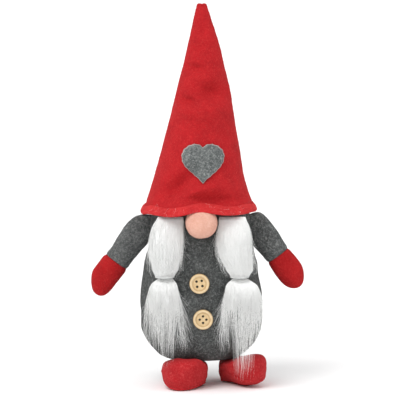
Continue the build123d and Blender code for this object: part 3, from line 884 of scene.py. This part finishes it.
for side in SIDES:
    sole_mesh = frame["nodes"][f"{side}_foot_sole"].data
    corners = np.array([v.co for v in sole_mesh.vertices])[:, :2] / MM
    low, high = corners.min(axis=0), corners.max(axis=0)
    middle = (low + high) / 2
    forward = corners[np.argmax(np.linalg.norm(corners - middle, axis=1))] - middle
    forward /= np.linalg.norm(forward) * (1 if forward[1] < 0 else -1)
    axes = ((-forward[1], forward[0], 0), (forward[0], forward[1], 0), (0, 0, 1))
    origin = (middle[0], middle[1], 0)
    upper_cut = Sections([f"{side}_foot_upper"], origin, axes)
    sole_cut = Sections([f"{side}_foot_sole"], origin, axes, count=8)
    _, sole_wide, _, sole_long = sole_cut.at(sole_cut.high / 2)
    waves, small = Waves(24.0), Waves(8.0)

    full_wide, full_long = (upper_cut.at(FOOT_WIDEST_Z)[i] for i in (1, 3))
    reach = np.sin(np.linspace(0, 1, 44) * math.pi / 2)
    levels = sole_cut.high - 0.3 + (upper_cut.high - sole_cut.high + 0.3) * reach
    rows = []
    for z in levels:
        mid_a, half_a, mid_b, half_b = upper_cut.at(z)
        lip = 0.9 * math.exp(-0.5 * ((z - sole_cut.high) / 0.5) ** 2)
        pucker = 0.14 * np.sin(foot_angles * 46) * math.exp(-0.5 * ((z - sole_cut.high - 1.0) / 1.6) ** 2)
        if z > FOOT_WIDEST_Z:
            above = (z - FOOT_WIDEST_Z) / (upper_cut.high + 0.4 - FOOT_WIDEST_Z)
            shoulder = (1 - above ** FOOT_SHOULDER[side]) ** (1 / FOOT_SHOULDER[side])
            half_a, half_b = full_wide * shoulder, full_long * (0.25 + 0.75 * shoulder)
        half_a, half_b = half_a + lip + pucker, half_b + lip + pucker
        rows.append(oval(mid_a, half_a, mid_b, half_b, foot_angles, z))
    for share in (0.75, 0.45, 0.2):
        rows.append(rows[len(levels) - 1] * (share, share, 1))
    rows = np.array(rows)
    swell = (0.45 * waves(rows) + 0.12 * small(rows)) * smoothstep(2.0, 6.0, rows[..., 2])
    swell *= smoothstep(upper_cut.high, upper_cut.high - 1.5, rows[..., 2])
    push_out(rows, swell, foot_angles)
    rows = settle(shape_foot(rows, side, sole_wide, sole_long, upper_cut.high), every=2)
    upper = tube_mesh(f"{side}_foot_felt", upper_cut.place(rows) * MM)
    dress(upper, felts["foot"], f"{side}_foot", "red_felt", f"{side}_foot_upper", f"{side}_foot_stuffing")
    fuzz(f"{side}_foot_fibres", upper, (fibre_red, f"{side}_foot", "red_felt"), 700, 2.0, 0.35, 0.045,
         lambda c, n: (c[:, 2] > FOOT_FUZZ[0]) & (c[:, 2] < FOOT_FUZZ[1]))

    rows = []
    thick = sole_cut.high - 0.1
    for grow, z in ((0.35, 0), (0.75, 0), (0.95, 0), (1.02, 0.2), (1.05, 0.8), (1.05, 1.4), (1.03, thick),
                    (0.8, thick), (0.35, thick)):
        long = sole_long * grow if grow < 0.9 else sole_long + (grow - 1) * sole_wide
        rows.append(oval(0, sole_wide * grow, 0, long, foot_angles, z))
    rows = shape_foot(np.array(rows), side, sole_wide, sole_long, upper_cut.high)
    sole = tube_mesh(f"{side}_sole_felt", sole_cut.place(rows) * MM)
    dress(sole, felts["foot"], f"{side}_foot", "red_felt", f"{side}_foot_sole")

# ---------------------------------------------------------------- hair
TIE_Z = sum(corner.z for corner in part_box("left_pigtail_tie")) / 2 / MM
TIE_RISE = 2.6  # how far the thread has slipped up the hair


def lock_point(ovals, theta, z, share):
    """Points on the ovals of a lock, at an angle round it and a share of its size."""
    x, half_x, y, half_y = ovals.at(z)
    puff = 1 + 0.15 * np.exp(-0.5 * ((np.abs(z - TIE_Z) - 4.0) / 2.8) ** 2)
    return oval(x, half_x * puff * share, y, half_y * puff * share, theta, z)


def slipped(points):
    """Draws the hair next to the tie up with its thread."""
    points = points.copy()
    points[..., 2] += TIE_RISE * np.exp(-(((points[..., 2] - TIE_Z) / 13.0) ** 2))
    return points


def wander(count, steps, size):
    """Smooth random side steps along each of many fibres."""
    t = np.linspace(0, 1, steps)[None, :]
    total = 0
    for waves in (1.0, 2.3, 4.1):
        phase = rng.uniform(0, TURN, (count, 1))
        speed = waves * rng.uniform(0.7, 1.3, (count, 1)) * math.pi
        total = total + np.sin(t * speed + phase) / waves
    return size * total


def upper_lock(side):
    """The smooth combed bundle from the brim down to the tie: a core and its fibres."""
    ovals = Sections([f"{side}_pigtail_upper"])
    theta = around(64)
    ripple = 0.885 + 0.012 * np.sin(theta * 11 + 0.5) + 0.01 * np.sin(theta * 23)
    rows = []
    for z in np.linspace(ovals.high, ovals.low + 0.2, 60):
        rows.append(lock_point(ovals, theta, z, ripple))
    core = tube_mesh(f"{side}_lock_core", slipped(np.array(rows)[::-1]) * MM)
    count, steps = 1100, 18
    t = np.linspace(0, 1, steps)[None, :]
    z = ovals.high + 1.2 - t * (ovals.high + 1.2 - ovals.low - 0.4)
    angle = rng.uniform(0, TURN, (count, 1)) + wander(count, steps, 0.045)
    share = rng.uniform(0.885, 0.965, (count, 1)) + wander(count, steps, 0.012)
    loose = rng.random((count, 1)) < 0.07
    share = share + loose * np.sin(t * math.pi) * rng.uniform(0.02, 0.14, (count, 1))
    paths = lock_point(ovals, angle, z, share)
    radii = 0.085 * (0.75 + 0.25 * np.sin(t * math.pi)) * rng.uniform(0.7, 1.15, (count, 1))
    return core, strand_mesh(f"{side}_lock_hair", slipped(paths), radii)


TIP_Z = {"left": 7.0, "right": 17.0}  # the lowest ends
LONG_CLUMPS = {"left": 6, "right": 9}  # one in so many
TIP_X = {"left": 31.0, "right": -25.0}  # where the longest fibres gather
FRONT_Y = {"left": -43.5, "right": -48.5}  # the long ends hang in front of the toes
HANG_Z = 54.0  # below this the fibres hang straight
GATHER_Z = 62.0  # below this they turn to their clump's tip
DEPTH_Z = 42.0  # below this the brush gets no thinner from front to back
RAGGED_Z, CORE_END_Z = 66.0, 70.0  # the core's ragged rim, and the middle that closes it


def tuft(side):
    """The loose brush below the tie: a ragged core and clumps of fibres of uneven length."""
    ovals = Sections([f"{side}_pigtail_tuft"])
    theta = around(96)
    ragged = RAGGED_Z + 4.0 * np.sin(theta * 7 + 1.3) + 3.0 * np.sin(theta * 17) + 2.0 * np.sin(theta * 31)
    rows = []
    for t in np.linspace(0, 1, 34):
        z = ovals.high - t ** 0.9 * (ovals.high - ragged)
        share = 0.88 + 0.018 * np.sin(theta * 13 + 2) + 0.012 * np.sin(theta * 29)
        rows.append(lock_point(ovals, theta, z, share * (1 - 0.25 * smoothstep(0.6, 1.0, t))))
    rows.append(lock_point(ovals, theta, CORE_END_Z, 0.4))
    core = tube_mesh(f"{side}_tuft_core", slipped(np.array(rows)[::-1]) * MM)

    clumps, each, steps = 100, 13, 22
    low = TIP_Z[side]
    clump_angle = rng.uniform(0, TURN, clumps)
    clump_angle[: clumps * 3 // 5] = rng.uniform(math.pi * 1.02, math.pi * 1.98, clumps * 3 // 5)
    clump_share = rng.uniform(0.4, 1.0, clumps) ** 0.5
    clump_tip = 25 + 37 * rng.beta(1.4, 0.8, clumps)
    long = np.arange(clumps) % LONG_CLUMPS[side] == 0
    clump_tip[long] = rng.uniform(low, low + 10, long.sum())
    clump_angle[long] = rng.uniform(math.pi * 1.25, math.pi * 1.75, long.sum())
    gather = np.where(long, 0.8, 0.12)
    foot = lock_point(ovals, clump_angle, HANG_Z, clump_share)
    tip_x = foot[:, 0] * (1 - gather) + TIP_X[side] * gather + rng.normal(0, 2.2, clumps)
    tip_y = foot[:, 1] * 0.6 + FRONT_Y[side] * 0.4
    tip_y[long] = FRONT_Y[side]
    tips = np.stack([tip_x, tip_y, clump_tip], axis=-1)

    which = np.repeat(np.arange(clumps), each)
    count = len(which)
    t = np.linspace(0, 1, steps)[None, :]
    end_z = clump_tip[which, None] + np.where(long[which, None], 34, 26) * rng.beta(0.9, 1.8, (count, 1))
    top = ovals.high + 0.4
    z = top - t * (top - end_z)
    angle = clump_angle[which, None] + rng.normal(0, 0.26, (count, 1)) + wander(count, steps, 0.035)
    share = np.clip(clump_share[which, None] + rng.normal(0, 0.12, (count, 1)), 0.2, 1.04)
    share = share + wander(count, steps, 0.02)
    share = share + (1.0 - share) * smoothstep(64, 78, z) * rng.uniform(0.7, 1.0, (count, 1))
    spread = lock_point(ovals, angle, np.maximum(z, DEPTH_Z), share)
    spread[..., 0] = lock_point(ovals, angle, np.maximum(z, HANG_Z), share)[..., 0]
    pull = smoothstep(66, 26, z)[..., None] * rng.uniform(0.25, 0.9, (count, 1, 1))
    start = lock_point(ovals, clump_angle, GATHER_Z, clump_share)[which, None]
    tip = tips[which, None]
    down = np.clip((GATHER_Z - z) / (GATHER_Z - tip[..., 2]), 0, 1.15)[..., None]
    paths = spread * (1 - pull) + (start + (tip - start) * down) * pull
    paths[..., 2] = z
    paths[..., 0] += wander(count, steps, 0.45) * t
    paths[..., 1] += wander(count, steps, 0.4) * t
    radii = 0.08 * (1 - 0.85 * t ** 2) * rng.uniform(0.6, 1.15, (count, 1))
    return core, strand_mesh(f"{side}_tuft_hair", slipped(paths), radii)


def stray(name, side, ovals, count, low, high, inner_share):
    """Loose thin hairs that leave a lock, most of them on its inner side."""
    sign = SIDES[side]
    steps = 16
    t = np.linspace(0, 1, steps)[None, :]
    inner = rng.random((count, 1)) < inner_share
    middle = np.where(inner, math.pi if sign > 0 else 0.0, 0.0 if sign > 0 else math.pi)
    turn = np.where(np.cos(middle) > 0, -1, 1)
    angle = middle + turn * rng.uniform(0.0, 0.9, (count, 1))
    start_z = rng.uniform(low + 12, high, (count, 1))
    length = np.minimum(rng.uniform(10, 34, (count, 1)), start_z - low + rng.uniform(-9, 5, (count, 1)))
    z = start_z - t * length
    away = 1.0 + t ** 1.4 * rng.uniform(0.05, 0.55, (count, 1)) + wander(count, steps, 0.03) * t
    paths = lock_point(ovals, angle, z, away)
    paths[..., 0] += wander(count, steps, 0.8) * t
    _, belly_wide, _, belly_deep = body_ovals.at(paths[..., 2])
    belly_y = -belly_deep * np.sqrt(np.clip(1 - (paths[..., 0] / belly_wide) ** 2, 0, 1))
    paths[..., 1] = np.minimum(paths[..., 1], belly_y - 0.7 - rng.uniform(0, 1.6, (count, 1)))
    radii = 0.055 * (1 - 0.6 * t) * np.ones((count, 1))
    return strand_mesh(name, slipped(paths), radii)


for side, sign in SIDES.items():
    core, hair = upper_lock(side)
    dress(core, hair_white, None, "white_hair", f"{side}_pigtail_upper")
    dress(hair, hair_strand, None, "white_hair")
    upper_stray = stray(f"{side}_lock_stray", side, Sections([f"{side}_pigtail_upper"]), 120, 86, 126, 0.65)
    dress(upper_stray, hair_strand, None, "white_hair")
    for piece in (core, hair, upper_stray):
        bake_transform(piece)

    core, hair = tuft(side)
    dress(core, hair_white, f"{side}_tuft", "white_hair", f"{side}_pigtail_tuft")
    dress(hair, hair_strand, f"{side}_tuft", "white_hair")
    lower_stray = stray(f"{side}_tuft_stray", side, Sections([f"{side}_pigtail_tuft"]), 130, 30, 80, 0.65)
    dress(lower_stray, hair_strand, f"{side}_tuft", "white_hair")

    # three turns of thread pull the hair in
    low, high = box_mm(f"{side}_pigtail_tie")
    wide, deep = (high.x - low.x) / 2 - 0.5, (high.y - low.y) / 2 - 0.5
    turns, steps = 3, 180
    t = np.linspace(0, 1, steps)
    angle = t * turns * TURN + math.pi / 2
    wave = 0.12 * np.sin(angle * 3.3)
    z = high.z - 0.3 - t * (high.z - low.z - 0.5)
    path = oval((low.x + high.x) / 2, wide + wave, (low.y + high.y) / 2, deep + wave, angle, z)
    tie = strand_mesh(f"{side}_tie_thread", slipped(path)[None], np.full((1, steps), 0.32))
    dress(tie, thread_pale, f"{side}_pigtail", "hair_tie", f"{side}_pigtail_tie")

# white hairs shed from the locks cling to the brim
fuzz("hem_stray", hat_hem, (hair_strand, "torso", "white_hair"), 26, 5.0, 0.8, 0.024,
     lambda c, n: (c[:, 1] < -25) & (n[:, 1] < -0.2))
for name in ("button_upper", "button_lower"):
    low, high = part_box(name)
    wood = wood_material(f"{name}_wood", ((low.x + high.x) / 2, low.y, (low.z + high.z) / 2))
    for material_slot in frame["nodes"][name].material_slots:
        material_slot.material = wood

# ---------------------------------------------------------------- camera, light and floor
VIEW_RISE = math.radians(8.0)
VIEW_DISTANCE = 4.0
VIEW_WIDTH = 0.3023  # of the frame, at the figure
VIEW_TARGET = Vector((-0.0008, 0.0, 0.1395))
camera_data = bpy.data.cameras.new("camera")
camera = bpy.data.objects.new("camera", camera_data)
bpy.context.scene.collection.objects.link(camera)
bpy.context.scene.camera = camera
towards_camera = Vector((0, -math.cos(VIEW_RISE), math.sin(VIEW_RISE)))
camera.location = VIEW_TARGET + towards_camera * VIEW_DISTANCE
camera.rotation_euler = (-towards_camera).to_track_quat("-Z", "Y").to_euler()
camera_data.sensor_width = 36.0
camera_data.lens = camera_data.sensor_width * VIEW_DISTANCE / VIEW_WIDTH
camera_data.clip_end = 200.0
bpy.context.scene.view_settings.view_transform = "Standard"

world = bpy.data.worlds.new("studio")
bpy.context.scene.world = world
world.use_nodes = True
set_inputs(world.node_tree.nodes["Background"], Color=(1.0, 1.0, 1.0, 1), Strength=0.86)


def soft_sun(name, towards, strength, softness):
    """A broad light from far away, so that the floor is as bright everywhere."""
    data = bpy.data.lights.new(name, "SUN")
    data.energy = strength
    data.angle = math.radians(softness)
    lamp = bpy.data.objects.new(name, data)
    bpy.context.scene.collection.objects.link(lamp)
    lamp.rotation_euler = Vector(towards).to_track_quat("Z", "Y").to_euler()


soft_sun("key", (-0.38, -0.50, 0.78), 1.6, 36)
soft_sun("fill", (0.8, -0.5, 0.5), 0.25, 80)

FLOOR_REACH = 60.0
floor_corners = [(-FLOOR_REACH, -FLOOR_REACH, 0), (FLOOR_REACH, -FLOOR_REACH, 0),
                 (FLOOR_REACH, FLOOR_REACH, 0), (-FLOOR_REACH, FLOOR_REACH, 0)]
floor = new_object("floor", floor_corners, [(0, 1, 2, 3)], smooth=False)
floor_material, _, floor_shader = node_material("floor_pale")
set_inputs(floor_shader, Base_Color=(0.97, 0.97, 0.97, 1), Roughness=0.9, Specular_IOR_Level=0.1)
floor.data.materials.append(floor_material)
